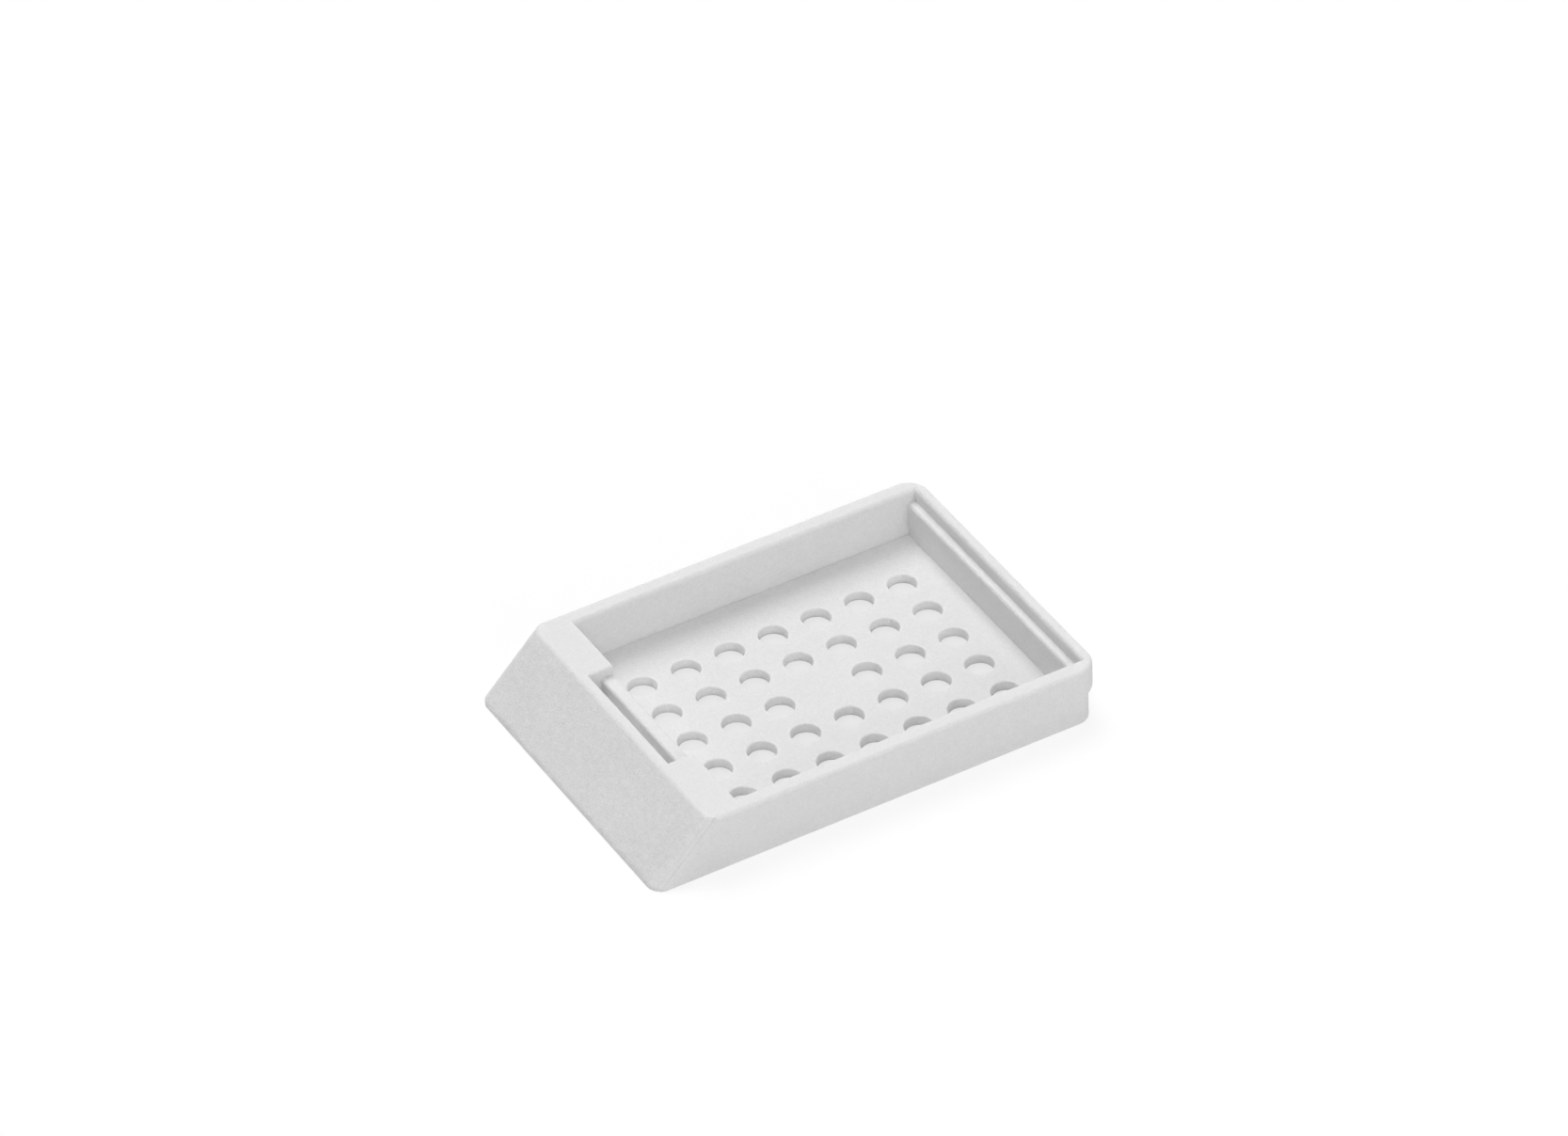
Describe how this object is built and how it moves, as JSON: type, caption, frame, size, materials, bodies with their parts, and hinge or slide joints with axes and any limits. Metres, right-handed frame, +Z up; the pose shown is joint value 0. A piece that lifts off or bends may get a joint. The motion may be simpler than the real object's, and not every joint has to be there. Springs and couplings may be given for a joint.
{
  "type": "tissue cassette",
  "caption": "Shallow perforated tray for processing tissue samples, with a sloped writing face, a slotted front ledge and a stepped back wall for a snap lid.",
  "frame": {"origin": "middle of the bounding box, on the bench", "axes": "+X from the writing face to the lip at the back, +Z up"},
  "size_m": [0.0406, 0.0284, 0.0053],
  "materials": {
    "white_acetal": "fine satin, moulded"
  },
  "bodies": {
    "root": {"cassette_base": "white_acetal"}
  },
  "joints": []
}
